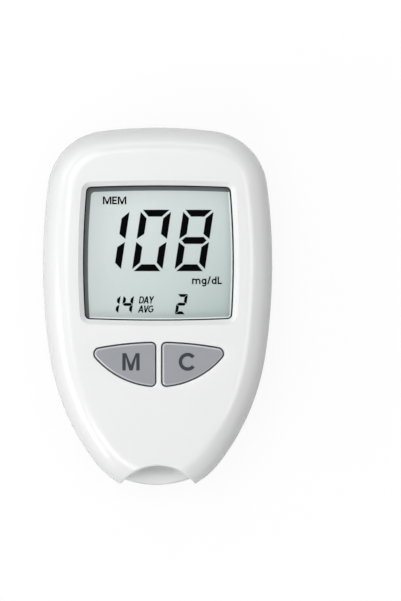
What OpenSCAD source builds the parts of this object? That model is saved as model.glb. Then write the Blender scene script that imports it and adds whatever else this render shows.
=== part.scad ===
// Blood glucose meter: two moulded shells, a window, two rubber-backed keys, a display
// stack on a printed circuit board, a test-strip socket and two AAA cells under a sliding door.
// The meter lies on its back. +Z leaves the display, +Y runs to the top end.

/* [Body] */
// Length of the meter, from the top end to the tongue
body_l = 96; // [94:0.5:104]
// Width of the front shell at its widest
body_w = 61.5; // [60:0.5:66]
// Height of the face above the back
body_h = 23; // [22.5:0.25:26]
// Height of the parting line above the back
part_z = 11.5; // [11:0.25:12.5]
// Thickness of the moulded walls
wall = 1.8; // [1.5:0.1:2]
// How far the rear shell stands in from the front shell
rear_step = 0.6; // [0.3:0.1:1]
// Gap between pieces that lie near each other without bearing load
seat_gap = 0.3; // [0.2:0.05:0.35]

/* [Outline] */
// Radius of the two top corners
corner_r = 16.4; // [15.5:0.1:17.5]
// Radius of the lower flanks
lower_r = 62; // [58:0.5:66]
// How far the shell outline runs past the tongue before the scoop cuts it
tail_run = 2; // [1.5:0.1:2.5]
// Direction in which the top arc ends, as the angle of its outward normal
top_end = 82.9; // [82:0.1:84]
// Direction in which the corner arc ends
corner_end = 7.6; // [6:0.1:9]
// Direction in which the side arc ends
side_end = -8.7; // [-10:0.1:-7.5]
// Direction in which the lower arc ends
lower_end = -38; // [-40:0.5:-36]

/* [Face] */
// Width of the rounded band round the face
roll_w = 7; // [5:0.5:8]
// Height of the rounded band round the face
roll_h = 9; // [8:0.5:9.5]
// Radius of the slow fall of the face towards the strip end
fall_r = 150; // [120:10:300]
// Distance from the top end at which the fall of the face starts
fall_start = 68; // [66:0.5:72]
// Radius of the rounded edge of the back
rear_roll = 8; // [6:0.5:8.5]

/* [Window] */
// Width of the window at its middle
win_w = 40.3; // [38:0.1:41]
// Width of the window at its corners
win_end_w = 37.6; // [36:0.1:38]
// Length of the window
win_l = 35.6; // [33:0.1:36]
// Distance from the top end to the window
win_top = 15.7; // [15:0.1:17]
// How far the window's short edges bow outward
win_bow = 0.4; // [0.2:0.1:0.8]
// Radius of the window's corners
win_r = 1.4; // [1:0.1:2]
// Width of the sloped lip round the window
lip_w = 1; // [0.5:0.1:1.4]
// Depth of the sloped lip
lip_d = 0.7; // [0.4:0.1:1]
// How far the lens reaches under the edge of the window
lens_lap = 1.4; // [1:0.1:1.6]
// Thickness of the lens
lens_t = 1.5; // [1:0.1:1.6]
// Thickness of the gasket
gasket_t = 0.3; // [0.2:0.05:0.4]
// How far the gasket shows inside the window
gasket_show = 0.35; // [0.2:0.05:0.6]
// Room round the lens in its seat
lens_play = 0.15; // [0.1:0.05:0.25]

/* [Display] */
// Width of the display glass
cell_w = 44.2; // [43:0.1:44.6]
// Length of the front glass
cell_l = 41.5; // [40:0.1:42]
// How much shorter the rear glass is, to bare the contact ledge
cell_ledge = 2.4; // [2:0.1:3]
// Thickness of the front glass
front_glass_t = 0.8; // [0.6:0.1:1]
// Thickness of the rear glass
rear_glass_t = 0.7; // [0.5:0.1:0.8]
// How far the display glass sits towards the top end from the window's middle
cell_shift = 1.05; // [0.8:0.05:1.2]
// Wall of the display holder
holder_wall = 1.2; // [0.8:0.1:1.3]
// Slack round the display glass in its holder
cell_slack = 0.15; // [0.1:0.05:0.25]
// Width of the ledge on which the display glass rests
holder_ledge = 1.8; // [1.4:0.1:2.2]
// Width of the elastomer connector
zebra_w = 1.8; // [1.4:0.1:2]
// Distance from the side of the display glass to the end of the elastomer connector
zebra_in = 2.2; // [2:0.1:3]

/* [Keys] */
// Distance from the window to the keys
key_gap = 5.95; // [5:0.05:7]
// Length of the keys along the meter at their inner edges
key_l = 12; // [11:0.1:12.5]
// Gap between the two keys
key_split = 1.5; // [1.2:0.1:2.4]
// Radius of the shared upper edge of the keys
key_top_r = 61; // [50:1:80]
// Radius of the shared lower edge of the keys
key_low_r = 20.8; // [20:0.1:21.5]
// Radius of the corners of the keys
key_corner = 1.3; // [0.8:0.1:1.6]
// Running gap round a key
key_play = 0.25; // [0.2:0.05:0.35]
// How far a key stands above the face
key_proud = 0.45; // [0.3:0.05:0.8]
// How far a key travels
key_travel = 0.8; // [0.5:0.05:0.9]
// Distance of a key's post from the middle
key_post_x = 7.5; // [7:0.1:8.5]
// Distance of a key's post from the top of the key
key_post_y = 5.75; // [5.5:0.1:6.5]
// Radius of a key's post
key_post_r = 3.4; // [3.2:0.1:3.6]
// Width of the flange that keeps a key in
flange_w = 0.8; // [0.6:0.1:1]
// Thickness of the flange
flange_t = 0.8; // [0.6:0.1:1]
// Bevel round the top of a key
key_bevel = 0.4; // [0.2:0.05:0.5]
// How far the rubber mat reaches past the keys at the sides and below
mat_lap = 2.75; // [2.25:0.25:3]
// How far the rubber mat reaches past the keys above
mat_top_lap = 1.75; // [1.25:0.25:2]
// Thickness of the rubber mat
mat_t = 1; // [0.8:0.1:1.1]
// Height of a rubber cone
cone_h = 1.5; // [1.4:0.1:1.6]
// Radius of a rubber cone at the mat
cone_r = 5; // [4.6:0.1:5.4]
// Radius of a rubber cone at the key
cone_top_r = 3.2; // [3.1:0.1:3.4]
// Thickness of a rubber cone
cone_t = 0.5; // [0.4:0.05:0.6]
// Radius of a carbon pill
pill_r = 2; // [1.6:0.1:2.2]
// Thickness of a carbon pill
pill_t = 0.6; // [0.4:0.05:0.6]
// Width of a key's stem round its carbon pill
pill_rim = 0.4; // [0.3:0.05:0.5]
// Height left under a carbon pill when its key is down
pill_rest = 0.05; // [0.02:0.01:0.1]

/* [Board] */
// Thickness of the circuit board
board_t = 1.2; // [1:0.1:1.6]
// Distance from the shell outline to the board's edge
board_inset = 3; // [2.8:0.1:4]
// Distance from the top end to the board
board_top = 10.2; // [10.1:0.1:11]
// Width of the board's end, which carries the strip socket
board_neck = 17; // [15:0.5:18]
// Gap between the board's edges and what stands beside them
board_play = 0.5; // [0.4:0.1:0.8]
// Distance from the battery well to the parts beside it
part_gap = 1.5; // [1:0.1:2]
// Side of the microcontroller
chip_w = 10; // [7:0.5:12]
// Thickness of the microcontroller
chip_t = 1; // [0.8:0.1:1.4]
// Width of the crystal
crystal_w = 3.8; // [3:0.1:5]
// Length of the crystal
crystal_l = 9; // [6:0.5:11]
// Height of the crystal
crystal_h = 1.8; // [1.4:0.1:3]
// Length of a capacitor
capacitor_l = 2; // [1.6:0.1:3]
// Width of a capacitor
capacitor_w = 1.2; // [0.8:0.1:1.6]
// Height of a capacitor
capacitor_h = 0.8; // [0.5:0.1:1.2]
// Distance from one capacitor to the next
capacitor_pitch = 2.2; // [2:0.1:3]
// Radius of the buzzer
buzzer_r = 6; // [5:0.25:6]
// Height of the buzzer
buzzer_h = 2.5; // [2:0.1:3]
// Radius of the sound hole in the buzzer
buzzer_hole_r = 1; // [0.6:0.1:1.5]
// Wall of the buzzer under its sound hole
buzzer_wall = 0.8; // [0.5:0.1:1]

/* [Strip port] */
// Radius of the scoop in the front shell
scoop_r = 12.3; // [12:0.1:12.6]
// Distance from the end of the tongue to the scoop's centre
scoop_out = 6.65; // [6.5:0.05:6.8]
// Radius of the end of the tongue
tongue_r = 25.8; // [25:0.1:27]
// Rounding under the end of the tongue
tongue_roll = 6; // [4:0.5:7]
// Thickness of the tongue
tongue_t = 2.4; // [2:0.1:3]
// Distance from the tongue's centre at which its round end runs out into the flanks
tongue_out = 7.8; // [6:0.2:9]
// Width of the strip slot
slot_w = 8.4; // [7:0.1:9]
// Height of the strip slot
slot_h = 0.8; // [0.6:0.1:1]
// Height of the slot above the tongue
slot_lift = 0.3; // [0.2:0.05:0.4]
// Width of the strip socket
socket_w = 11; // [10:0.5:12]
// Length of the strip socket
socket_l = 12.8; // [11:0.1:13]
// How far the socket reaches below the parting line
socket_sink = 0.6; // [0.4:0.1:0.8]
// Wall of the socket behind the slot
socket_wall = 2; // [1:0.1:2.5]
// Distance from the socket's mouth to its contacts
leaf_in = 3; // [2:0.1:4]
// Distance from one contact to the next
leaf_pitch = 1.5; // [1.2:0.05:1.6]
// Width of a contact
leaf_w = 0.5; // [0.4:0.05:0.6]
// Thickness of a contact
leaf_t = 0.25; // [0.15:0.05:0.3]
// Gap round a contact in the socket
leaf_play = 0.1; // [0.05:0.01:0.15]
// Gap beside the strip in the opening of the scoop's wall
notch_side = 1; // [0.5:0.1:1.5]
// Gap above the strip in the opening of the scoop's wall
notch_top = 0.4; // [0.2:0.1:0.8]

/* [Cells] */
// Radius of an AAA cell
aaa_r = 5.25; // [5.1:0.05:5.25]
// Length of an AAA cell with its button
aaa_l = 44.5; // [43.5:0.1:44.5]
// Radius of a cell's button
aaa_button_r = 1.9; // [1.6:0.1:1.9]
// Length of a cell's button
aaa_button_l = 1.2; // [0.8:0.1:1.4]
// Gap between the two cells
aaa_gap = 0.5; // [0.3:0.1:0.8]
// Slack round the cells in their well
aaa_slack = 0.3; // [0.2:0.05:0.4]
// Gap between the cells and the door
aaa_lift = 0.25; // [0.2:0.05:0.4]
// Distance from the top end to the well
well_end = 7.3; // [7:0.1:8]
// Wall of the battery well
well_wall = 1.2; // [1:0.1:1.4]
// Thickness of the well's roof
well_roof = 1; // [0.8:0.1:1.1]
// Thickness of the contact plates
plate_t = 0.4; // [0.3:0.05:0.5]
// Width of a contact plate
plate_w = 8; // [6:0.5:9]
// Width of the tails that join the contact plates to the board
tail_w = 2.4; // [1.6:0.1:3]
// Gap beside a tail in the well's roof
tail_play = 0.4; // [0.2:0.1:0.6]
// Length of a contact spring as it sits
spring_l = 3.6; // [3:0.1:4.5]
// Mean radius of a contact spring
spring_r = 2.8; // [2.4:0.1:3.2]
// Radius of the spring wire
wire_r = 0.3; // [0.25:0.05:0.35]
// Gap between a contact spring and what it bears on
spring_rest = 0.1; // [0.05:0.01:0.15]

/* [Door] */
// Width of the battery door
door_w = 28; // [27:0.5:29]
// Thickness of the battery door
door_t = 1.6; // [1.5:0.1:1.8]
// How far the door lies below the back
door_sink = 0.2; // [0.1:0.05:0.3]
// Distance from the well to the door's closed end
door_lap = 0.9; // [0.7:0.1:1.4]
// Width of the door's side tongues
rail_w = 1; // [0.8:0.1:1.2]
// Thickness of the door's side tongues
rail_t = 0.8; // [0.6:0.1:0.8]
// Running gap round the door
door_play = 0.25; // [0.15:0.05:0.3]
// Width of the shell beside the door's side tongues
runner_side = 1.95; // [1.5:0.05:2.5]
// Thickness of the shell over the door's side tongues
runner_over = 1.35; // [1:0.05:1.8]
// How far the shell stays thick past the door's closed end
runner_end = 3; // [2:0.5:4]
// Distance from the door's closed end to the middle of the thumb recess
thumb_in = 7; // [6.5:0.5:10]
// Length of the thumb recess across the door
thumb_w = 18; // [14:0.5:20]
// Width of the thumb recess along the door
thumb_l = 9; // [7:0.5:10]
// Depth of the thumb recess
thumb_d = 0.8; // [0.5:0.1:0.9]
// Distance from one ridge in the thumb recess to the next
ridge_pitch = 1.8; // [1.5:0.1:2.2]
// Width of a ridge
ridge_w = 0.8; // [0.6:0.1:1]
// Height of a ridge
ridge_h = 0.5; // [0.3:0.1:0.6]

/* [Screws] */
// Distance of the upper shell screws from the middle
post_top_x = 18.6; // [18.4:0.1:19.5]
// Distance of the upper shell screws from the top end
post_top_y = 7.5; // [7.3:0.1:7.7]
// Distance of the lower shell screws from the middle
post_low_x = 15; // [14:0.1:16]
// Distance of the lower shell screws from the end of the tongue
post_low_y = 15; // [14.5:0.1:16]
// Radius of the rear screw posts
post_r = 2.5; // [2.4:0.1:2.7]
// Radius of the front screw bosses
boss_r = 2.3; // [2.1:0.1:2.4]
// Radius of a screw's shank
shank_r = 1; // [0.8:0.05:1.1]
// Gap round a screw's shank where it passes through
shank_play = 0.15; // [0.1:0.05:0.25]
// Thickness of face left over a pilot hole
pilot_floor = 1; // [0.8:0.1:1.2]
// Distance from a screw's end to the inner side of the face
screw_short = 2; // [1.6:0.1:2.5]
// Radius of a screw's head
head_r = 1.9; // [1.7:0.1:2]
// Height of a screw's head
head_h = 1.6; // [1.2:0.1:1.8]
// Length of the cross in a screw's head
cross_l = 2.2; // [1.8:0.1:2.6]
// Width of the cross in a screw's head
cross_w = 0.5; // [0.4:0.05:0.6]
// Depth of the cross in a screw's head
cross_d = 0.8; // [0.6:0.1:1]
// Depth of the pockets for the shell screws
pocket_d = 4.2; // [4:0.1:5]
// Distance of the board screws from the side of the front shell
board_screw_x = 8.15; // [7.9:0.05:8.4]
// Distance of the board screws from the top end
board_screw_y = 57.4; // [57.3:0.1:58]

/* [Hidden] */
$fn = 64;
over = 1;             // how far a cut runs past the face that it opens
pilot_play = 0.03;    // radial room of a screw in its pilot hole
draft = 0.3;          // how far the front shell draws in at the parting line
HALF_STEPS = [4, 10, 6, 8, 6];   // straight steps along each arc of one half outline
ROLL_STEPS = 6;

// Heights of the stack, from the face down to the display glass
top_y = body_l / 2;
end_y = -body_l / 2;
under_z = body_h - wall;
lens_z = under_z - gasket_t - lens_t;
cell_z1 = lens_z - seat_gap;
front_glass_z = cell_z1 - front_glass_t;
rear_glass_z = front_glass_z - rear_glass_t;

// Places along the meter
fall_y = top_y - fall_start;
win_y1 = top_y - win_top;
win_y = win_y1 - win_l;
win_mid = (win_y + win_y1) / 2;
key_y1 = win_y - key_gap;
key_y = key_y1 - key_l;
key_post = [key_post_x, key_y1 - key_post_y];
scoop_y = end_y - scoop_out;
tongue_y = end_y + tongue_r;
cell_y = win_mid - cell_l / 2 + cell_shift;
board_y1 = top_y - board_top;
slot_z = part_z + slot_lift;

// Door, cells, well and the board on the well's roof
door_z1 = door_sink + door_t;
cell_axis_z = door_z1 + aaa_lift + aaa_r;
cell_x = aaa_r + aaa_gap / 2;
well_x = cell_x + aaa_r + aaa_slack;
well_y1 = top_y - well_end;
well_l = aaa_l + spring_l + 2 * plate_t;
well_y = well_y1 - well_l;
well_z1 = cell_axis_z + aaa_r + seat_gap / 2;
well_top = well_z1 + well_roof;
board_z = well_top + seat_gap;
board_z1 = board_z + board_t;
door_y = well_y - door_lap;
rail_z = door_z1 - rail_t;
pad_z = door_z1 + door_play + runner_over;
pad_x = door_w / 2 + rail_w + door_play + runner_side;

SCREWS = [[post_top_x, top_y - post_top_y], [-post_top_x, top_y - post_top_y],
          [post_low_x, end_y + post_low_y], [-post_low_x, end_y + post_low_y]];
BOARD_SCREWS = [for (s = [1, -1]) [s * (body_w / 2 - board_screw_x), top_y - board_screw_y]];

// ---- Outline: five tangent arcs from the top middle to the tail middle ----
// The angles, the corner and the lower radius are given. The width, the length and a
// tail that closes squarely on the middle line then give the top, side and tail radii.
tail_y = end_y - tail_run;
ca = [for (a = [top_end, corner_end, side_end, lower_end]) cos(a)];
sa = [for (a = [top_end, corner_end, side_end, lower_end]) sin(a)];
wide = body_w / 2 - corner_r * (ca[1] - ca[0]);
shut = body_w / 2 - lower_r * (ca[2] - ca[3]);
span = tail_y - top_y + corner_r * (sa[0] - sa[1]) + lower_r * (sa[2] - sa[3]);
side_gain = (1 - ca[1]) * (1 - sa[0]) / ca[0] + sa[2] - sa[1] + (1 - ca[2]) * (1 + sa[3]) / ca[3];
side_r = (span + wide * (1 - sa[0]) / ca[0] + shut * (1 + sa[3]) / ca[3]) / side_gain;
top_r = (wide - side_r * (1 - ca[1])) / ca[0];
tail_r = (shut - side_r * (1 - ca[2])) / ca[3];
ARC_R = [top_r, corner_r, side_r, lower_r, tail_r];
ARC_A = [90, top_end, corner_end, side_end, lower_end, -90];

function normal(a) = [cos(a), sin(a)];
function arc_c(i) =
    i == 0 ? [0, top_y - top_r] : arc_c(i - 1) + (ARC_R[i - 1] - ARC_R[i]) * normal(ARC_A[i]);
ARC_C = [for (i = [0:4]) arc_c(i)];

// One half of the outline, set in by d, from the top middle to the tail middle
function half(d) = concat(
    [for (i = [0:4]) for (k = [0:HALF_STEPS[i] - 1])
        ARC_C[i] + (ARC_R[i] - d) * normal(ARC_A[i] + (ARC_A[i + 1] - ARC_A[i]) * k / HALF_STEPS[i])],
    [[0, tail_y + d]]);
// The whole outline: the right half down, then the left half up
function ring(d) = both_sides(half(d));
function both_sides(h) = let (m = len(h) - 1)
    concat([for (p = h) [p[0] < 1e-6 ? 0 : p[0], p[1]]],
           [for (i = [m - 1:-1:1]) [-h[i][0], h[i][1]]]);

// Height that the face has lost at y
function fall(y) = y >= fall_y ? 0 : pow(y - fall_y, 2) / (2 * fall_r);
// One level of a shell form: [inset, height, how much of the fall it takes]
function level(d, z, f) = [for (p = ring(d)) [p[0], p[1], z - f * fall(p[1])]];

// A closed solid through a stack of levels, with flat-ruled ends
module loft(levels) {
    n = len(levels[0]);
    m = len(levels) - 1;
    points = [for (l = levels) for (p = l) p];
    sides = [for (l = [0:m - 1]) for (i = [0:n - 1]) let (j = (i + 1) % n)
        each [[l * n + i, l * n + j, l * n + n + i], [l * n + j, l * n + n + j, l * n + n + i]]];
    roof_faces = cap(m * n, n);
    floor_faces = [for (f = cap(0, n)) [for (i = [len(f) - 1:-1:0]) f[i]]];
    polyhedron(points = points, faces = concat(sides, floor_faces, roof_faces), convexity = 4);
}
// Strips that join each point of the right half to its mirror on the left
function cap(o, n) = concat(
    [[o, o + 1, o + n - 1]],
    [for (i = [1:n / 2 - 2]) [o + i, o + i + 1, o + n - i - 1, o + n - i]],
    [[o + n / 2 - 1, o + n / 2, o + n / 2 + 1]]);

// The front shell's form, set in all round by t
module front_form(t, low) {
    spring_z = body_h - roll_h;
    loft(concat(
        [level(t + draft, low, 0), level(t, spring_z, 0)],
        [for (k = [1:ROLL_STEPS]) let (a = 90 * k / ROLL_STEPS)
            level(t + (roll_w - t) * (1 - cos(a)), spring_z + (roll_h - t) * sin(a), sin(a))]));
}
// The rear shell's form, set in all round by t
module rear_form(t, high) {
    r = rear_roll - t;
    intersection() {
        loft(concat(
            [for (k = [0:ROLL_STEPS]) let (a = 90 * k / ROLL_STEPS)
                level(rear_step + t + r * (1 - sin(a)), rear_roll - r * cos(a), 0)],
            [level(rear_step + t, high, 0)]));
        tail_limit(t, high);
    }
}
// What the tongue's round end and its rolled underside leave of the rear shell
module tail_limit(t, high) {
    r = tongue_roll - t;
    translate([0, tongue_y, 0]) rotate_extrude($fn = 96) union() {
        translate([0, t]) square([tongue_r - tongue_roll, high + over - t]);
        translate([0, tongue_roll]) square([tongue_r - t, high + over - tongue_roll]);
        intersection() {
            translate([tongue_r - tongue_roll, tongue_roll]) circle(r);
            translate([0, t]) square([tongue_r, tongue_roll - t]);
        }
    }
    translate([-body_w, tongue_y - tongue_out, -over]) cube([2 * body_w, body_l, high + 2 * over]);
}

// ---- Window and key outlines ----
// An arc round c from one normal angle towards another, without its last point
function arc(c, r, a, b, steps) = [for (k = [0:steps - 1]) c + r * normal(a + (b - a) * k / steps)];
// Where two circles meet, on the right of the line from the first centre to the second
function meet(c, r, e, s) =
    let (v = e - c, d = norm(v), a = (d * d + r * r - s * s) / (2 * d), h = sqrt(r * r - a * a))
    c + (a * v + h * [v[1], -v[0]]) / d;
function angle(c, p) = atan2(p[1] - c[1], p[0] - c[0]);

win_side_bow = (win_w - win_end_w) / 2;
WIN_SIDE_R = (pow(win_l / 2, 2) + pow(win_side_bow, 2)) / (2 * win_side_bow);
WIN_END_R = (pow(win_end_w / 2, 2) + pow(win_bow, 2)) / (2 * win_bow);
WIN_SIDE = [win_w / 2 - WIN_SIDE_R, win_mid];
WIN_END = [0, win_y1 - WIN_END_R];
WIN_CORNER = meet(WIN_END, WIN_END_R - win_r, WIN_SIDE, WIN_SIDE_R - win_r);

// The window, grown by g: bowed ends and sides that run into round corners
function window(g) = let (
    q = concat(arc(WIN_END, WIN_END_R + g, 90, angle(WIN_END, WIN_CORNER), 3),
               arc(WIN_CORNER, win_r + g, angle(WIN_END, WIN_CORNER), angle(WIN_SIDE, WIN_CORNER), 6),
               arc(WIN_SIDE, WIN_SIDE_R + g, angle(WIN_SIDE, WIN_CORNER), 0, 5)))
    both_sides(concat(q, [[win_w / 2 + g, win_mid]],
                      [for (i = [len(q) - 1:-1:0]) [q[i][0], 2 * win_mid - q[i][1]]]));

KEY_TOP = [0, key_y1 - key_top_r];
KEY_LOW = [0, key_y + key_low_r];
KEY_TIP = meet(KEY_TOP, key_top_r - key_corner, KEY_LOW, key_low_r - key_corner);
key_in_x = key_split / 2 + key_corner;
KEY_TOP_IN = [key_in_x, KEY_TOP[1] + sqrt(pow(key_top_r - key_corner, 2) - pow(key_in_x, 2))];
KEY_LOW_IN = [key_in_x, KEY_LOW[1] - sqrt(pow(key_low_r - key_corner, 2) - pow(key_in_x, 2))];

// The key on one side (1 right, -1 left), grown by g
function key_edge(side, g) = [for (p = concat(
    arc(KEY_TOP_IN, key_corner + g, 180, angle(KEY_TOP, KEY_TOP_IN), 6),
    arc(KEY_TOP, key_top_r + g, angle(KEY_TOP, KEY_TOP_IN), angle(KEY_TOP, KEY_TIP), 8),
    arc(KEY_TIP, key_corner + g, angle(KEY_TOP, KEY_TIP), angle(KEY_LOW, KEY_TIP), 8),
    arc(KEY_LOW, key_low_r + g, angle(KEY_LOW, KEY_TIP), angle(KEY_LOW, KEY_LOW_IN), 12),
    arc(KEY_LOW_IN, key_corner + g, angle(KEY_LOW, KEY_LOW_IN), -180, 6),
    [KEY_LOW_IN - [key_corner + g, 0]])) [side * p[0], p[1]]];

module slab(z, h) {
    translate([0, 0, z]) linear_extrude(h) children();
}
module round_at(list, z, h, r) {
    for (p = list) translate([p[0], p[1], z]) cylinder(h = h, r = r);
}
module block(x, y, y1, z, z1) {
    translate([-x, y, z]) cube([2 * x, y1 - y, z1 - z]);
}
// A closed solid through outlines of equal count, with a flat face at each end
module prism(levels) {
    n = len(levels[0]);
    m = len(levels) - 1;
    sides = [for (l = [0:m - 1]) for (i = [0:n - 1]) [l * n + i, l * n + (i + 1) % n,
                                                     l * n + n + (i + 1) % n, l * n + n + i]];
    polyhedron(points = [for (l = levels) for (p = l) p], convexity = 4,
               faces = concat(sides, [[for (i = [n - 1:-1:0]) i], [for (i = [0:n - 1]) m * n + i]]));
}

// ---- Shells and what closes them ----
module front_housing() {
    color("whitesmoke") difference() {
        front_form(0, part_z);
        difference() {
            front_form(wall, part_z - over);
            round_at([[0, scoop_y]], 0, body_h, scoop_r + wall);
            round_at(SCREWS, part_z, body_h, boss_r);
            round_at(BOARD_SCREWS, board_z1, body_h, boss_r);
        }
        round_at([[0, scoop_y]], part_z - over, body_h, scoop_r);
        loft([for (l = [[0, lens_z], [0, body_h - lip_d], [lip_w * (lip_d + over) / lip_d, body_h + over]])
            [for (p = window(l[0])) [p[0], p[1], l[1]]]]);
        slab(lens_z, gasket_t + lens_t) polygon(window(lens_lap + lens_play));
        for (side = [-1, 1]) slab(part_z, body_h) polygon(key_edge(side, 0));
        for (list = [[SCREWS, part_z], [BOARD_SCREWS, board_z1]])
            round_at(list[0], list[1] - over, over + under_z - list[1] - pilot_floor, shank_r + pilot_play);
        block(slot_w / 2 + notch_side, scoop_y, scoop_y + scoop_r + 2 * wall,
              part_z - over, slot_z + slot_h + notch_top);
    }
}

module rear_housing() {
    color("gainsboro") difference() {
        union() {
            difference() {
                rear_form(0, part_z);
                difference() {
                    rear_form(wall, part_z + over);
                    block(pad_x, door_y - runner_end, body_l, 0, pad_z);
                    block(well_x + well_wall, well_y - well_wall, well_y1 + well_wall, 0, body_h);
                    round_at(SCREWS, 0, part_z, post_r);
                    round_at([[0, scoop_y]], part_z - tongue_t, body_h, scoop_r + wall + seat_gap);
                }
            }
            block(well_x + well_wall, well_y - well_wall, well_y1 + well_wall, part_z - over, well_top);
        }
        block(well_x, well_y, well_y1, -over, well_z1);
        block(door_w / 2 + door_play, door_y - door_play, body_l, -over, door_z1 + door_play);
        block(door_w / 2 + rail_w + door_play, door_y - door_play, body_l,
              rail_z - door_play, door_z1 + door_play);
        round_at(SCREWS, -over, over + pocket_d, head_r + seat_gap);
        round_at(SCREWS, 0, part_z + over, shank_r + shank_play);
        for (p = [[-cell_x, well_y1 - plate_t - tail_play], [cell_x, well_y1 - plate_t - tail_play],
                  [0, well_y]])
            translate([p[0] - tail_w / 2 - tail_play, p[1], well_z1 - over])
                cube([tail_w + 2 * tail_play, plate_t + tail_play, 2 * over + well_roof]);
    }
}

module battery_door() {
    color("gainsboro") difference() {
        intersection() {
            union() {
                block(door_w / 2, door_y, body_l, door_sink, door_z1);
                block(door_w / 2 + rail_w, door_y, body_l, rail_z, door_z1);
            }
            rear_form(0, part_z);
        }
        difference() {
            thumb_pocket();
            for (k = [-2:2]) translate([-body_w, door_y + thumb_in + k * ridge_pitch - ridge_w / 2,
                                        door_sink + thumb_d - ridge_h])
                cube([2 * body_w, ridge_w, over]);
        }
    }
}
// The thumb recess: a slot with round ends
module thumb_pocket() {
    x = (thumb_w - thumb_l) / 2;
    y = door_y + thumb_in;
    h = over + thumb_d;
    round_at([[-x, y], [x, y]], door_sink - over, h, thumb_l / 2);
    block(x, y - thumb_l / 2, y + thumb_l / 2, door_sink - over, door_sink - over + h);
}

module display_lens() {
    color([0.85, 0.9, 0.9, 0.35]) slab(lens_z, lens_t) polygon(window(lens_lap));
}
module lens_gasket() {
    color([0.08, 0.08, 0.09]) difference() {
        slab(under_z - gasket_t, gasket_t) polygon(window(lens_lap));
        slab(under_z - gasket_t - over, gasket_t + 2 * over) polygon(window(-gasket_show));
    }
}

// ---- Display stack ----
module lcd_front_glass() {
    color([0.78, 0.82, 0.8]) block(cell_w / 2, cell_y, cell_y + cell_l, front_glass_z, cell_z1);
}
module lcd_rear_glass() {
    color([0.7, 0.74, 0.72])
        block(cell_w / 2, cell_y, cell_y + cell_l - cell_ledge, rear_glass_z, front_glass_z);
}
module lcd_holder() {
    x = cell_w / 2 + cell_slack;
    y = cell_y - cell_slack;
    y1 = cell_y + cell_l + cell_slack;
    color("white") difference() {
        block(x + holder_wall, y - holder_wall, y1 + holder_wall, board_z1, cell_z1);
        block(x, y, y1, rear_glass_z, cell_z1 + over);
        block(x - holder_ledge, y + holder_ledge, y1 - cell_ledge - holder_ledge,
              board_z1 - over, rear_glass_z + over);
        block(x - holder_ledge, zebra_y - cell_slack, zebra_y + zebra_w + cell_slack,
              board_z1 - over, rear_glass_z + over);
    }
}
zebra_y = cell_y + cell_l - (cell_ledge + zebra_w) / 2;
module zebra_strip() {
    color("dimgray") block(cell_w / 2 - zebra_in, zebra_y, zebra_y + zebra_w, board_z1, front_glass_z);
}

// ---- Board and what it carries ----
module main_board() {
    color("seagreen") difference() {
        slab(board_z, board_t) intersection() {
            polygon(ring(board_inset));
            union() {
                shoulder_y = end_y + post_low_y + post_r + board_play;
                translate([-body_w, shoulder_y]) square([2 * body_w, board_y1 - shoulder_y]);
                translate([-board_neck / 2, -body_l]) square([board_neck, body_l]);
            }
        }
        round_at([[0, scoop_y]], board_z - over, board_t + 2 * over, scoop_r + wall + board_play);
        round_at(BOARD_SCREWS, board_z - over, board_t + 2 * over, shank_r + shank_play);
    }
}
beside_x = well_x + well_wall + part_gap;
module microcontroller() {
    color([0.1, 0.1, 0.11]) translate([beside_x, win_mid - chip_w / 2, board_z - chip_t])
        cube([chip_w, chip_w, chip_t]);
}
module crystal() {
    color("silver") translate([beside_x, win_mid + chip_w / 2 + part_gap, board_z - crystal_h])
        cube([crystal_l, crystal_w, crystal_h]);
}
module buzzer() {
    color([0.15, 0.15, 0.16]) difference() {
        place = [[-beside_x - buzzer_r, win_mid]];
        round_at(place, board_z - buzzer_h, buzzer_h, buzzer_r);
        round_at(place, board_z - buzzer_h - over, over + buzzer_h - buzzer_wall, buzzer_hole_r);
    }
}
module board_capacitors() {
    color("tan") for (k = [0:3])
        translate([beside_x + k * capacitor_pitch, win_mid - chip_w / 2 - part_gap - capacitor_l,
                   board_z - capacitor_h]) cube([capacitor_w, capacitor_l, capacitor_h]);
}
socket_y = scoop_y + scoop_r + wall + 2 * seat_gap;
leaf_l = socket_l - socket_wall - leaf_in;
leaf_top = board_z - 2 * leaf_t;
module strip_connector() {
    color([0.13, 0.13, 0.14]) difference() {
        block(socket_w / 2, socket_y, socket_y + socket_l, part_z - socket_sink, board_z);
        block(slot_w / 2, socket_y - over, socket_y + socket_l - socket_wall, slot_z, slot_z + slot_h);
        for (k = [-2:2]) translate([leaf_pitch * k - leaf_w / 2 - leaf_play, socket_y + leaf_in, slot_z])
            cube([leaf_w + 2 * leaf_play, leaf_l, leaf_top + leaf_play - slot_z]);
    }
}
// Each contact is a leaf over the slot, with a bent-down tip and an upright foot
module strip_contacts() {
    low = slot_z + slot_h - leaf_t / 2;
    y = socket_y + leaf_in + leaf_play;
    color("gold") for (k = [-2:2]) translate([leaf_pitch * k - leaf_w / 2, y, 0]) {
        translate([0, 0, low]) cube([leaf_w, 2 * leaf_w, leaf_t]);
        translate([0, 0, low + leaf_t / 2]) cube([leaf_w, leaf_l - 2 * leaf_play, leaf_t]);
        translate([0, leaf_l - 2 * leaf_play - leaf_t, low + leaf_t / 2])
            cube([leaf_w, leaf_t, leaf_top - low - leaf_t / 2]);
    }
}

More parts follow.
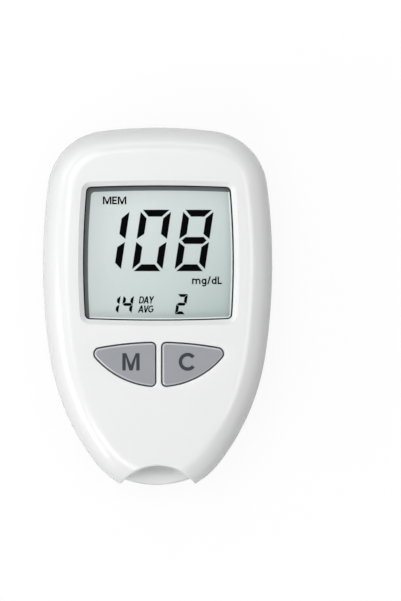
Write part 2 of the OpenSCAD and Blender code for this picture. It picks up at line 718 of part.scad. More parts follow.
// ---- Keys ----
mat_z1 = board_z1 + mat_t;
cone_z1 = mat_z1 + cone_h;
pill_z = board_z1 + key_travel + pill_rest;
module keypad_mat() {
    color("lightgray") difference() {
        block(KEY_TIP[0] + key_corner + mat_lap, key_y - mat_lap, key_y1 + mat_top_lap, board_z1, mat_z1);
        for (s = [-1, 1])
            round_at([[s * key_post[0], key_post[1]]], board_z1 - over, mat_t + 2 * over, cone_r);
        round_at(concat(SCREWS, BOARD_SCREWS), board_z1 - over, mat_t + 2 * over, boss_r + seat_gap);
    }
}
module key(side) {
    p = [side * key_post[0], key_post[1]];
    flange_z = under_z - seat_gap - flange_t;
    top_z = body_h + key_proud;
    levels = [[0, flange_z + flange_t / 2], [0, top_z - key_bevel], [key_bevel * (1 - cos(45)),
              top_z - key_bevel * (1 - sin(45))], [key_bevel, top_z]];
    color([0.64, 0.65, 0.67]) union() {
        prism([for (l = levels) [for (q = key_ring(side, -key_play - l[0])) [q[0], q[1], l[1]]]]);
        slab(flange_z, flange_t) polygon(key_edge(side, min(flange_w, key_split / 2 - key_play)));
        round_at([p], cone_z1, flange_z + flange_t / 2 - cone_z1, key_post_r);
        round_at([p], pill_z + pill_t, cone_z1 + over / 2 - pill_z - pill_t, pill_r + pill_rim);
    }
}
// The key's outline in the order that prism takes
function key_ring(side, g) = let (e = key_edge(side, g), n = len(e))
    side > 0 ? e : [for (i = [n - 1:-1:0]) e[i]];
module button_m() { key(-1); }
module button_c() { key(1); }
module dome_web(side) {
    color("lightgray") translate([side * key_post[0], key_post[1], mat_z1]) rotate_extrude()
        polygon([[cone_r, 0], [cone_r + cone_t, 0], [cone_top_r, cone_h], [cone_top_r - cone_t, cone_h]]);
}
module dome_web_m() { dome_web(-1); }
module dome_web_c() { dome_web(1); }
module carbon_pill(side) {
    color([0.12, 0.12, 0.12])
        round_at([[side * key_post[0], key_post[1]]], pill_z, pill_t, pill_r);
}
module carbon_pill_m() { carbon_pill(-1); }
module carbon_pill_c() { carbon_pill(1); }

// ---- Cells and contacts ----
// A cell along +Y from its flat end at y
module aaa_cell(x, y, turn) {
    translate([x, y, cell_axis_z]) rotate([turn ? 90 : -90, 0, 0]) {
        cylinder(h = aaa_l - aaa_button_l, r = aaa_r);
        cylinder(h = aaa_l, r = aaa_button_r);
    }
}
module battery_left() {
    color("darkgoldenrod") aaa_cell(-cell_x, well_y + plate_t + spring_l, false);
}
module battery_right() {
    color("darkgoldenrod") aaa_cell(cell_x, well_y1 - plate_t - spring_l, true);
}
TURNS = 3;
COIL_STEPS = 12;
COIL_SIDES = 6;
// A closed wire helix along +Z, l long overall
module coil(l) {
    n = TURNS * COIL_STEPS;
    start = wire_r + spring_rest;
    rise = l - 2 * start;
    points = [for (i = [0:n]) for (k = [0:COIL_SIDES - 1])
        let (a = 360 * i / COIL_STEPS, b = 360 * k / COIL_SIDES, q = spring_r + wire_r * cos(b))
        [q * cos(a), q * sin(a), start + rise * i / n + wire_r * sin(b)]];
    s = COIL_SIDES;
    sides = [for (i = [0:n - 1]) for (k = [0:s - 1]) let (j = (k + 1) % s)
        each [[i * s + k, i * s + j, i * s + s + k], [i * s + j, i * s + s + j, i * s + s + k]]];
    polyhedron(points = points, faces = concat(sides, [[for (k = [s - 1:-1:0]) k]],
        [[for (k = [0:s - 1]) n * s + k]]), convexity = 6);
}
module plate(x, x1, y) {
    translate([x, y, cell_axis_z - plate_w / 2]) cube([x1 - x, plate_t, plate_w]);
}
module contact_tail(x, y) {
    translate([x - tail_w / 2, y, cell_axis_z]) cube([tail_w, plate_t, board_z - cell_axis_z]);
}
module battery_bridge() {
    color("silver") {
        plate(-cell_x - plate_w / 2, cell_x + plate_w / 2, well_y);
        contact_tail(0, well_y);
        translate([-cell_x, well_y + plate_t, cell_axis_z]) rotate([-90, 0, 0]) coil(spring_l);
    }
}
module battery_plus_contact() {
    color("silver") {
        plate(-cell_x - plate_w / 2, -cell_x + plate_w / 2, well_y1 - plate_t);
        contact_tail(-cell_x, well_y1 - plate_t);
    }
}
module battery_minus_spring() {
    color("silver") {
        plate(cell_x - plate_w / 2, cell_x + plate_w / 2, well_y1 - plate_t);
        contact_tail(cell_x, well_y1 - plate_t);
        translate([cell_x, well_y1 - plate_t, cell_axis_z]) rotate([90, 0, 0]) coil(spring_l);
    }
}

// ---- Screws ----
// A screw from the underside of its head at z up to its end in the front shell
module screw(p, z) {
    translate([p[0], p[1], z]) difference() {
        union() {
            cylinder(h = head_h, r = head_r);
            cylinder(h = under_z - screw_short - z, r = shank_r);
        }
        for (a = [0, 90]) rotate(a)
            translate([-cross_l / 2, -cross_w / 2, -over]) cube([cross_l, cross_w, over + cross_d]);
    }
}
module housing_screws() {
    color("silver") for (p = SCREWS) screw(p, pocket_d - head_h);
}
module board_screws() {
    color("silver") for (p = BOARD_SCREWS) screw(p, board_z - head_h);
}

front_housing();
rear_housing();
battery_door();
display_lens();
lens_gasket();
lcd_front_glass();
lcd_rear_glass();
lcd_holder();
zebra_strip();
main_board();
microcontroller();
crystal();
buzzer();
board_capacitors();
strip_connector();
strip_contacts();
keypad_mat();
button_m();
button_c();
dome_web_m();
dome_web_c();
carbon_pill_m();
carbon_pill_c();
battery_left();
battery_right();
battery_bridge();
battery_plus_contact();
battery_minus_spring();
housing_screws();
board_screws();
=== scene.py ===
import math

import bpy
import numpy as np
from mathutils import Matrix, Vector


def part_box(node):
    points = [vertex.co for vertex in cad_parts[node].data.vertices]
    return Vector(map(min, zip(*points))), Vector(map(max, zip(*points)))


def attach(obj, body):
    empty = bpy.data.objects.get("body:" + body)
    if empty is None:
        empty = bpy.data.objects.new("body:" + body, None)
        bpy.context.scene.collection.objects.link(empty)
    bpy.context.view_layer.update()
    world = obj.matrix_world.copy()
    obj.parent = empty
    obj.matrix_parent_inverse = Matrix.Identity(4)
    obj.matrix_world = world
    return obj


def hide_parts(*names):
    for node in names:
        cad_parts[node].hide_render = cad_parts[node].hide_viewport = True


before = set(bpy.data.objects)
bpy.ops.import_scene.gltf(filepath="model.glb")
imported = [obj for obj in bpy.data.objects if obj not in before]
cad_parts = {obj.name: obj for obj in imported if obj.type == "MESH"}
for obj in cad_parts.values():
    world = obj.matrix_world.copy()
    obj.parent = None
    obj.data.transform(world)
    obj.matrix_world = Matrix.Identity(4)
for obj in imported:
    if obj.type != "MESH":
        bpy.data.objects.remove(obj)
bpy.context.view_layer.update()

# ---- Table, camera and lamps ----
# The meter lies on a pale table and is seen from almost straight above through a long lens.
# Soft lamps stand round it, the strongest low on the left, and a square one shines from
# high up at the far left.
MM = 0.001
PHOTO_WIDE = 401
MM_PER_PIXEL = 96 / 358.5
VIEW_MIDDLE = (11.5, 1.7)
VIEW_LEAN = (2.3, 0.3)
CAMERA_HIGH, RIM_HIGH, FILM_WIDE = 1.5, 0.014, 36
TABLE_SIZE, TABLE_DROP = 6, 0.00002
TABLE_GLOW = 0.9
TABLE_BOUNCE = 0.18
WORLD_LEVEL = 0.15
ZENITH_LEVEL, HAZE_LOW, HAZE_TOP = 0.05, 0.2, 0.6
WHITE = (1, 1, 1, 1)


class Wire:
    """One output in a material's nodes. Sums and products of wires add the nodes for them."""

    def __init__(self, tree, socket=None):
        self.tree, self.socket = tree, socket

    def node(self, kind, settings=None, sockets=None, out=0):
        made = self.tree.nodes.new("ShaderNode" + kind)
        for name, value in (settings or {}).items():
            if name == "stops":
                set_stops(made.color_ramp, value)
            else:
                setattr(made, name, value)
        for name, value in (sockets or {}).items():
            if isinstance(value, Wire):
                self.tree.links.new(value.socket, made.inputs[name])
            else:
                made.inputs[name].default_value = value
        return Wire(self.tree, made.outputs[out])

    def maths(self, operation, *values):
        return self.node("Math", {"operation": operation}, dict(enumerate(values)))

    def __add__(self, other):
        return self.maths("ADD", self, other)

    def __sub__(self, other):
        return self.maths("SUBTRACT", self, other)

    def __rsub__(self, other):
        return self.maths("SUBTRACT", other, self)

    def __mul__(self, other):
        return self.maths("MULTIPLY", self, other)

    __radd__, __rmul__ = __add__, __mul__

    def part(self, axis):
        """One coordinate of a place, from 0 to 2."""
        return self.node("SeparateXYZ", None, {0: self}, axis)


def set_stops(ramp, stops):
    while len(ramp.elements) < len(stops):
        ramp.elements.new(0.5)
    for element, (place, colour) in zip(ramp.elements, stops):
        element.position, element.color = place, colour


def new_material(name):
    material = bpy.data.materials.new(name)
    material.use_nodes = True
    material.node_tree.nodes.clear()
    return material, Wire(material.node_tree)


def finish_with(wire, shader):
    output = wire.tree.nodes.new("ShaderNodeOutputMaterial")
    wire.tree.links.new(shader.socket, output.inputs["Surface"])


def ray(wire, *kinds):
    """1 for rays of these kinds, such as what the camera or a reflection sees, and 0 for others."""
    found = [wire.node("LightPath", None, None, f"Is {kind} Ray") for kind in kinds]
    return found[0] if len(found) == 1 else found[0].maths("MAXIMUM", *found)


def table_finish():
    material, wire = new_material("pale_table")
    bounce = wire.node("BsdfDiffuse", None, {"Color": (TABLE_BOUNCE, TABLE_BOUNCE, TABLE_BOUNCE, 1)})
    shaded = wire.node("BsdfDiffuse", None, {"Color": WHITE})
    bright = wire.node("Emission", None, {"Color": WHITE, "Strength": 1.0})
    shown = wire.node("MixShader", None, {0: TABLE_GLOW, 1: shaded, 2: bright})
    mirrored = wire.node("MixShader", None, {0: ray(wire, "Glossy"), 1: bounce, 2: shaded})
    top = wire.node("MixShader", None, {0: ray(wire, "Camera", "Transmission"), 1: mirrored, 2: shown})
    under = wire.node("BsdfTransparent")
    below = wire.node("NewGeometry", None, None, "Backfacing")
    finish_with(wire, wire.node("MixShader", None, {0: below, 1: top, 2: under}))
    return material


bpy.ops.mesh.primitive_plane_add(size=TABLE_SIZE, location=(0, 0, -TABLE_DROP))
table = bpy.context.object
table.name = "table"
table.data.materials.append(table_finish())

camera_data = bpy.data.cameras.new("camera")
camera_data.sensor_fit = "HORIZONTAL"
camera_data.sensor_width = FILM_WIDE
camera_data.lens = FILM_WIDE * (CAMERA_HIGH - RIM_HIGH) / (PHOTO_WIDE * MM_PER_PIXEL * MM)
camera_data.clip_end = 20
camera = bpy.data.objects.new("camera", camera_data)
lean_left, lean_far = np.radians(VIEW_LEAN)
camera.location = (VIEW_MIDDLE[0] * MM - (CAMERA_HIGH - RIM_HIGH) * math.tan(lean_left),
                   VIEW_MIDDLE[1] * MM + (CAMERA_HIGH - RIM_HIGH) * math.tan(lean_far), CAMERA_HIGH)
camera.rotation_euler = (-lean_far, -lean_left, 0)
bpy.context.scene.collection.objects.link(camera)
bpy.context.scene.camera = camera


def lamp(name, place, wide, tall, level, aim=(0, 0, 0.01)):
    """A flat lamp that gives a facing white surface at aim the brightness given as level."""
    data = bpy.data.lights.new(name, "AREA")
    data.shape, data.size, data.size_y = "RECTANGLE", wide, tall
    away = math.dist(place, aim)
    data.energy = level * (math.pi * away) ** 2
    made = bpy.data.objects.new(name, data)
    made.location = place
    way = np.subtract(aim, place)
    made.rotation_euler = (math.acos(-way[2] / away), 0, math.atan2(way[1], way[0]) - math.pi / 2)
    made.visible_camera = False
    bpy.context.scene.collection.objects.link(made)
    return made


# Name, bearing and rise in degrees, and level. All of these stand a metre away.
LAMPS = (("left_lamp", 206, 22, 0.38), ("corner_lamp", 145, 24, 0.15), ("far_lamp", 85, 32, 0.15),
         ("far_right_lamp", 40, 40, 0.08), ("right_lamp", 0, 64, 0.2), ("near_lamp", 252, 50, 0.26))
LAMP_WIDE, LAMP_TALL = 0.8, 0.32
HIGH_LAMP_PLACE, HIGH_LAMP_WIDE, HIGH_LAMP_LEVEL = (-0.32, 0.32, 0.9), 0.65, 0.32
for name, bearing, rise, level in LAMPS:
    rise, bearing = math.radians(rise), math.radians(bearing)
    lamp(name, (math.cos(rise) * math.cos(bearing), math.cos(rise) * math.sin(bearing), math.sin(rise)),
         LAMP_WIDE, LAMP_TALL, level)
lamp("high_lamp", HIGH_LAMP_PLACE, HIGH_LAMP_WIDE, HIGH_LAMP_WIDE, HIGH_LAMP_LEVEL)
world = bpy.data.worlds.new("world")
world.use_nodes = True
sky = Wire(world.node_tree)
world.node_tree.nodes["Background"].inputs["Color"].default_value = WHITE
height = sky.node("TexCoord", None, None, "Generated").part(2)
haze = sky.node("MapRange", None, {"Value": height, "From Min": HAZE_LOW, "From Max": HAZE_TOP,
                                   "To Min": 1.0, "To Max": ZENITH_LEVEL})
strength = (WORLD_LEVEL + ray(sky, "Glossy", "Transmission") * (haze - WORLD_LEVEL)
            + ray(sky, "Camera") * (1 - WORLD_LEVEL))
world.node_tree.links.new(strength.socket, world.node_tree.nodes["Background"].inputs["Strength"])
bpy.context.scene.world = world
bpy.context.scene.view_settings.view_transform = "Standard"

# ---- Front shell ----
# The shell that the hand holds: injection-moulded pale plastic with a soft, low gloss.
# Its outline is five arcs that run into one another; the face rolls over all round, and
# the window, the two keys and the strip scoop are cut through it with softened edges.
WALL, PART_Z, DRAFT = 1.8, 11.5, 0.3
CORNER_R, LOWER_R, TAIL_RUN = 16.4, 62, 2
ARC_ENDS = (82.9, 7.6, -8.7, -38)
ROLL_W, ROLL_H, FALL_R, FALL_START = 7, 9, 150, 68
WIN_W, WIN_L, WIN_TOP, WIN_WIDE_Y, WIN_R = 40.3, 36.1, 15.55, 12, 1.4
WIN_SIDE_R, WIN_END_R = 219, 442
LIP_W, LIP_D, LIP_BOW = 1.3, 1.45, 0.95
KEY_GAP, KEY_L, KEY_SPLIT = 5.65, 12, 1.45
KEY_TOP_R, KEY_LOW_R, KEY_CORNER, KEY_TIP_R = 86.6, 22.4, 1.3, 1.7
SCOOP_R, SCOOP_OUT, SCOOP_EDGE = 12.3, 6.65, 0.6
ROLL_STEPS, SMOOTH_ANGLE = 16, 20
# A shape that cuts reaches this far past what it cuts.
PAST = 1
shell_high = np.array(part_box("front_housing")[1]) / MM
BODY_W = 2 * shell_high[0]
TOP_Y, END_Y, FACE_Z = shell_high[1], -shell_high[1], shell_high[2]


def toward(degrees):
    return np.array([math.cos(math.radians(degrees)), math.sin(math.radians(degrees))])


def shell_arcs():
    """Radii, centres and end angles of one half outline, from its width and length."""
    c = [toward(a)[0] for a in ARC_ENDS]
    s = [toward(a)[1] for a in ARC_ENDS]
    wide = BODY_W / 2 - CORNER_R * (c[1] - c[0])
    shut = BODY_W / 2 - LOWER_R * (c[2] - c[3])
    span = END_Y - TAIL_RUN - TOP_Y + CORNER_R * (s[0] - s[1]) + LOWER_R * (s[2] - s[3])
    gain = (1 - c[1]) * (1 - s[0]) / c[0] + s[2] - s[1] + (1 - c[2]) * (1 + s[3]) / c[3]
    side = (span + wide * (1 - s[0]) / c[0] + shut * (1 + s[3]) / c[3]) / gain
    end_radii = (wide - side * (1 - c[1])) / c[0], (shut - side * (1 - c[2])) / c[3]
    radii = [end_radii[0], CORNER_R, side, LOWER_R, end_radii[1]]
    centres = [np.array([0, TOP_Y - radii[0]])]
    for i, a in enumerate(ARC_ENDS):
        centres.append(centres[-1] + (radii[i] - radii[i + 1]) * toward(a))
    return radii, centres, (90,) + ARC_ENDS + (-90,)


SHELL = shell_arcs()
SHELL_STEPS = (12, 34, 16, 30, 18)


def arc(centre, radius, start, end, steps):
    """Points along an arc, without its last one."""
    turns = [start + (end - start) * k / steps for k in range(steps)]
    return [np.asarray(centre) + radius * toward(turn) for turn in turns]


def both_sides(half):
    """A closed outline from its right half, which runs from one end of the middle line to the other."""
    half = np.array(half)
    half[[0, -1], 0] = 0
    return np.vstack([half, half[-2:0:-1] * (-1, 1)])


def shell_outline(inset):
    half = []
    for radius, centre, start, end, steps in zip(*SHELL[:2], SHELL[2], SHELL[2][1:], SHELL_STEPS):
        half += arc(centre, radius - inset, start, end, steps)
    return both_sides(half + [(0, END_Y - TAIL_RUN + inset)])


def fall(y):
    return np.where(y < TOP_Y - FALL_START, (y - TOP_Y + FALL_START) ** 2 / (2 * FALL_R), 0)


def face_height(points):
    """Height of the front shell's outer surface over each point."""
    heights = []
    for x, y in np.abs(points) * (1, 0) + points * (0, 1):
        inset = min((r - math.dist(c, (x, y)) for r, c, a, b in zip(*SHELL[:2], SHELL[2], SHELL[2][1:])
                     if b - 1 <= math.degrees(math.atan2(y - c[1], x - c[0])) <= a + 1), default=ROLL_W)
        turn = math.acos(1 - min(max(inset, 0), ROLL_W) / ROLL_W)
        heights.append(FACE_Z - ROLL_H + math.sin(turn) * (ROLL_H - fall(np.array(y))))
    return np.array(heights)


def at_height(points, z):
    return np.column_stack([points, np.broadcast_to(z, len(points))])


def new_piece(name, vertices, faces):
    """An object in the scene, from its corners in metres and its faces."""
    mesh = bpy.data.meshes.new(name)
    mesh.from_pydata(np.asarray(vertices).tolist(), [], faces)
    made = bpy.data.objects.new(name, mesh)
    bpy.context.scene.collection.objects.link(made)
    return made


def loft(name, levels):
    """A closed mesh through outlines of equal count, with ends ruled from side to side."""
    count = len(levels[0])
    faces = []
    for base in range(0, count * (len(levels) - 1), count):
        for i in range(count):
            j = (i + 1) % count
            faces.append((base + i, base + count + i, base + count + j, base + j))
    for base, flip in ((0, False), (count * (len(levels) - 1), True)):
        strips = [(0, 1, count - 1), (count // 2 - 1, count // 2, count // 2 + 1)]
        strips += [(i, i + 1, count - i - 1, count - i) for i in range(1, count // 2 - 1)]
        faces += [tuple(base + v for v in (strip[::-1] if flip else strip)) for strip in strips]
    return new_piece(name, np.vstack(levels) * MM, faces)


def combine(target, tool, operation="DIFFERENCE"):
    """Cuts tool out of target, or joins it on, and removes tool."""
    step = target.modifiers.new("combine", "BOOLEAN")
    step.operation, step.object, step.solver = operation, tool, "EXACT"
    bpy.context.view_layer.update()
    seen = target.evaluated_get(bpy.context.evaluated_depsgraph_get())
    mesh = bpy.data.meshes.new_from_object(seen)
    target.modifiers.clear()
    target.data = mesh
    bpy.data.objects.remove(tool)
    return target


def soften(piece):
    """Smooth shading that keeps the real edges sharp."""
    piece.data.polygons.foreach_set("use_smooth", [True] * len(piece.data.polygons))
    piece.data.set_sharp_from_angle(angle=math.radians(SMOOTH_ANGLE))
    return piece


def block(name, x, y, z):
    """A box from its ranges, as an object to cut or join with."""
    corners = np.array([(x[i], y[j]) for i, j in ((0, 0), (0, 1), (1, 1), (1, 0))], float)
    faces = [(0, 1, 2, 3), (7, 6, 5, 4)] + [(i, i + 4, (i + 1) % 4 + 4, (i + 1) % 4) for i in range(4)]
    return new_piece(name, np.vstack([at_height(corners, z[0]), at_height(corners, z[1])]) * MM, faces)


def drum(name, levels, centre, steps=96):
    """A turned solid from (radius, height) levels, where a height may vary round the turn."""
    turns = both_sides(np.array([toward(90 - 180 * k / (steps // 2)) for k in range(steps // 2 + 1)]))
    return loft(name, [at_height(turns * r + centre, z(turns * r + centre) if callable(z) else z)
                       for r, z in levels])


def meet(c, r, e, s):
    """Where two circles meet, on the right of the line between their centres."""
    gap = np.subtract(e, c)
    d = math.hypot(*gap)
    along = (d * d + r * r - s * s) / (2 * d)
    aside = math.sqrt(r * r - along * along)
    return np.asarray(c) + (along * gap + aside * np.array([gap[1], -gap[0]])) / d


def angle(c, p):
    return math.degrees(math.atan2(p[1] - c[1], p[0] - c[0]))


WIN_HIGH_Y = TOP_Y - WIN_TOP
WIN_LOW_Y = WIN_HIGH_Y - WIN_L


def window_outline(grow):
    """Bowed sides that are widest below the middle, slightly bowed ends and round corners."""
    side, half = (WIN_W / 2 - WIN_SIDE_R, WIN_WIDE_Y), []
    for end_y, way in ((WIN_HIGH_Y - WIN_END_R, 1), (WIN_LOW_Y + WIN_END_R, -1)):
        end, mirrored = (0, end_y * way), (side[0], side[1] * way)
        corner = meet(end, WIN_END_R - WIN_R, mirrored, WIN_SIDE_R - WIN_R)
        quarter = arc(end, WIN_END_R + grow, 90, angle(end, corner), 12)
        quarter += arc(corner, WIN_R + grow, angle(end, corner), angle(mirrored, corner), 12)
        quarter += arc(mirrored, WIN_SIDE_R + grow, angle(mirrored, corner), 0, 14)
        quarter = [(x, y * way) for x, y in quarter]
        half += quarter + [(WIN_W / 2 + grow, WIN_WIDE_Y)] if way > 0 else quarter[::-1]
    return both_sides(half)


KEY_Y1 = WIN_LOW_Y - KEY_GAP


def key_outline(side, grow):
    """A key's crescent: a flat arc above, a deeper one below and a round tip on the outer side."""
    top, low = (0, KEY_Y1 - KEY_TOP_R), (0, KEY_Y1 - KEY_L + KEY_LOW_R)
    tip = meet(top, KEY_TOP_R - KEY_TIP_R, low, KEY_LOW_R - KEY_TIP_R)
    x = KEY_SPLIT / 2 + KEY_CORNER
    top_in = (x, top[1] + math.sqrt((KEY_TOP_R - KEY_CORNER) ** 2 - x * x))
    low_in = (x, low[1] - math.sqrt((KEY_LOW_R - KEY_CORNER) ** 2 - x * x))
    points = arc(top_in, KEY_CORNER + grow, 180, angle(top, top_in), 10)
    points += arc(top, KEY_TOP_R + grow, angle(top, top_in), angle(top, tip), 24)
    points += arc(tip, KEY_TIP_R + grow, angle(top, tip), angle(low, tip), 14)
    points += arc(low, KEY_LOW_R + grow, angle(low, tip), angle(low, low_in), 30)
    points += arc(low_in, KEY_CORNER + grow, angle(low, low_in), -180, 10)
    points += [(x - KEY_CORNER - grow, low_in[1]), (x - KEY_CORNER - grow, (top_in[1] + low_in[1]) / 2)]
    return np.array(points)[::side] * (side, 1)


def prism(name, levels):
    """A closed mesh through outlines of equal count, with one flat face at each end."""
    count = len(levels[0])
    last = count * (len(levels) - 1)
    faces = [tuple(range(count)), tuple(range(last + count - 1, last - 1, -1))]
    for base in range(0, last, count):
        faces += [(base + i, base + count + i, base + count + (i + 1) % count, base + (i + 1) % count)
                  for i in range(count)]
    return new_piece(name, np.vstack(levels) * MM, faces)


def front_form(inset, low):
    """The shell's outer form, or its inside where inset is the wall, from the parting line up."""
    levels = [at_height(shell_outline(inset + DRAFT), low)]
    levels += [at_height(shell_outline(inset), FACE_Z - ROLL_H)]
    for turn in np.radians(np.linspace(90 / ROLL_STEPS, 90, ROLL_STEPS)):
        points = shell_outline(inset + (ROLL_W - inset) * (1 - math.cos(turn)))
        drop = fall(points[:, 1]) * math.sin(turn)
        levels.append(at_height(points, FACE_Z - ROLL_H + (ROLL_H - inset) * math.sin(turn) - drop))
    return loft("front_shell", levels)


SCOOP_MIDDLE = (0, END_Y - SCOOP_OUT)
UNDER_Z = FACE_Z - WALL
KEY_HOLE_EDGE = ((0.05, 0.32), (0.1, 0.17), (0.22, 0.06), (0.34, 0.015), (0.46, 0))
SLOT_SIDE, SLOT_Y, SLOT_H = 0.3, (-55, -38), 1.5


def rounded_edge(radius, count=8):
    """How far a softened edge stands out, and how far under the surface, from deep to flush."""
    return [(radius * (1 - math.cos(a)), radius * (1 - math.sin(a)))
            for a in np.radians(np.linspace(0, 90, count + 1))]


CLOUD_SCALE, GRAIN_SCALE, GRAIN_DEEP = 60.0, 2600.0, 0.00005


def moulded(name, colour, roughness, grain=0.02, coat=0.0, shade=0.012):
    """Moulded plastic: faint clouding of colour and gloss, and a fine texture from the tool."""
    material, wire = new_material(name)
    place = wire.node("TexCoord", None, None, "Object")
    cloud = wire.node("TexNoise", None, {"Vector": place, "Scale": CLOUD_SCALE, "Detail": 3.0})
    fine = wire.node("TexNoise", None, {"Vector": place, "Scale": GRAIN_SCALE, "Detail": 2.0})
    tint = wire.node("Mix", {"data_type": "RGBA"},
                     {0: cloud, 6: (*[c * (1 - shade) for c in colour], 1),
                      7: (*[min(1, c * (1 + shade)) for c in colour], 1)}, 2)
    bump = wire.node("Bump", None, {"Height": fine, "Strength": grain, "Distance": GRAIN_DEEP})
    skin = wire.node("BsdfPrincipled", None,
                     {"Base Color": tint, "Roughness": roughness + 0.08 * (cloud - 0.5), "Normal": bump,
                      "Coat Weight": coat, "Coat Roughness": 0.12, "IOR": 1.5})
    finish_with(wire, skin)
    return material


front_shell = front_form(0, PART_Z)
cavity = front_form(WALL, PART_Z - PAST)
combine(cavity, drum("scoop_wall", [(SCOOP_R + WALL, 0), (SCOOP_R + WALL, UNDER_Z + 5)], SCOOP_MIDDLE))
combine(front_shell, cavity)
levels = [(SCOOP_R, PART_Z - PAST)]
levels += [(SCOOP_R + out, lambda p, deep=deep: face_height(p) - deep)
           for out, deep in rounded_edge(SCOOP_EDGE)]
levels += [(SCOOP_R + SCOOP_EDGE + 0.02, FACE_Z + 4)]
combine(front_shell, drum("scoop", levels, SCOOP_MIDDLE))
window_levels = [(0, UNDER_Z - PAST), (0, FACE_Z - LIP_D)]
window_levels += [(LIP_W * t, FACE_Z - LIP_D * (1 - t ** LIP_BOW)) for t in (0.5, 0.9, 1)]
window_levels += [(LIP_W * 1.02, FACE_Z + PAST)]
combine(front_shell, loft("window", [at_height(window_outline(g), z) for g, z in window_levels]))
for side in (-1, 1):
    key_levels = [(KEY_HOLE_EDGE[0][0], UNDER_Z - PAST)]
    key_levels += [(out, FACE_Z - deep) for out, deep in KEY_HOLE_EDGE]
    key_levels += [(KEY_HOLE_EDGE[-1][0] + 0.01, FACE_Z + PAST)]
    combine(front_shell, prism("key_hole", [at_height(key_outline(side, g), z) for g, z in key_levels]))
slot_low, slot_high = (np.array(corner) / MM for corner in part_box("strip_connector"))
combine(front_shell, block("slot_notch", (slot_low[0] + SLOT_SIDE, slot_high[0] - SLOT_SIDE), SLOT_Y,
                           (PART_Z - PAST, PART_Z + SLOT_H)))
soften(front_shell)
front_shell.data.materials.append(moulded("front_shell", (0.86, 0.862, 0.865), 0.24, 0.015, 0.3))
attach(front_shell, "meter")
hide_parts("front_housing")

# ---- Display window ----
# A clear acrylic lens sits under the edge of the window on a thin black foam gasket.
# The display cell under it is two plates of glass with a grey-green reflector behind, coloured with
# painted shade and a painted glow.


def clear_finish():
    material, wire = new_material("clear_lens")
    through = wire.node("BsdfTransparent", None, {"Color": (0.97, 0.985, 0.98, 1)})
    shine = wire.node("BsdfGlossy", None, {"Color": WHITE, "Roughness": 0.03})
    front = 1 - wire.node("NewGeometry", None, None, "Backfacing")
    facing = wire.node("Fresnel", None, {"IOR": 1.45})
    finish_with(wire, wire.node("MixShader", None, {0: facing * front, 1: through, 2: shine}))
    return material


# The display's glow is painted light, and its colour ramp is painted shade towards the near right.
DISPLAY_PAINTED_GLOW, SHADE_RUN, SHADE_START = 0.45, 0.075, 0.6


def display_with_painted_light(name, stops):
    """A pale reflector behind glass, with painted shade darker to the near right and a painted glow that
    lifts it where it lies in shade.
    """
    material, wire = new_material(name)
    place = wire.node("TexCoord", None, None, "Object")
    painted_shade_ramp = place.part(0) * (1 / SHADE_RUN) - place.part(1) * (1 / SHADE_RUN) + SHADE_START
    tint = wire.node("ValToRGB", {"stops": stops}, {0: painted_shade_ramp})
    speck = wire.node("TexNoise", None, {"Vector": place, "Scale": 3000.0})
    bump = wire.node("Bump", None, {"Height": speck, "Strength": 0.02, "Distance": 0.00002})
    finish_with(wire, wire.node("BsdfPrincipled", None,
                                {"Base Color": tint, "Roughness": 0.45, "Normal": bump,
                                 "Emission Color": tint, "Emission Strength": DISPLAY_PAINTED_GLOW}))
    return material


def dress(node, material):
    """Gives a carried-over CAD piece its finish and smooth shading."""
    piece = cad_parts[node]
    piece.data.materials.clear()
    piece.data.materials.append(material)
    return soften(piece)


dress("display_lens", clear_finish())
# Paler at the far left and darker at the near right: painted shade.
display_glass = display_with_painted_light("display_glass", [(0.2, (0.53, 0.555, 0.552, 1)),
                                                 (0.6, (0.44, 0.48, 0.475, 1)),
                                                 (1.0, (0.305, 0.355, 0.346, 1))])
dress("lcd_front_glass", display_glass)
dress("lcd_rear_glass", display_glass)
dress("lcd_holder", moulded("white_plastic", (0.8, 0.8, 0.8), 0.5))
dress("zebra_strip", moulded("elastomer", (0.06, 0.06, 0.06), 0.8, 0.1))


def flat_ring(name, outer, inner, low, high):
    """A flat closed frame between two outlines of equal count."""
    rings = ((outer, low), (outer, high), (inner, high), (inner, low))
    levels = [at_height(points, z) for points, z in rings]
    count, total = len(outer), 4 * len(outer)
    faces = []
    for base in range(0, total, count):
        for i in range(count):
            j = (i + 1) % count
            faces.append((base + i, (base + count) % total + i, (base + count) % total + j, base + j))
    return new_piece(name, np.vstack(levels) * MM, faces)


GASKET_SHOW, GASKET_LAP = 0.34, 1.2
# The first two are the widths of the display's painted shadow band and of its painted highlight ring.
SHADOW_BAND_W, PAINTED_HIGHLIGHT_W, PLATE_T, FILM_GAP = 1.05, 0.66, 0.03, 0.005
gasket_low, gasket_high = (corner[2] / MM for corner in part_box("lens_gasket"))
display_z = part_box("lcd_front_glass")[1][2] / MM


def shadow_band_opening():
    """The opening of the dark band of painted shadow, set over so that the gasket hides its near and
    right sides and it shows only at the far and left sides.
    """
    x, y = (window_outline(-GASKET_SHOW) + (SHADOW_BAND_W, -SHADOW_BAND_W)).T
    y = np.maximum(y, WIN_LOW_Y + WIN_END_R - np.sqrt((WIN_END_R - GASKET_SHOW) ** 2 - x ** 2))
    side = np.sqrt((WIN_SIDE_R - GASKET_SHOW) ** 2 - (y - WIN_WIDE_Y) ** 2)
    return np.column_stack([np.minimum(x, WIN_W / 2 - WIN_SIDE_R + side), y])


gasket = flat_ring("window_gasket", window_outline(GASKET_LAP), window_outline(-GASKET_SHOW),
                   gasket_low, gasket_high)
gasket.data.materials.append(moulded("black_foam", (0.004, 0.0042, 0.0045), 0.8, 0.2))
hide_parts("lens_gasket")
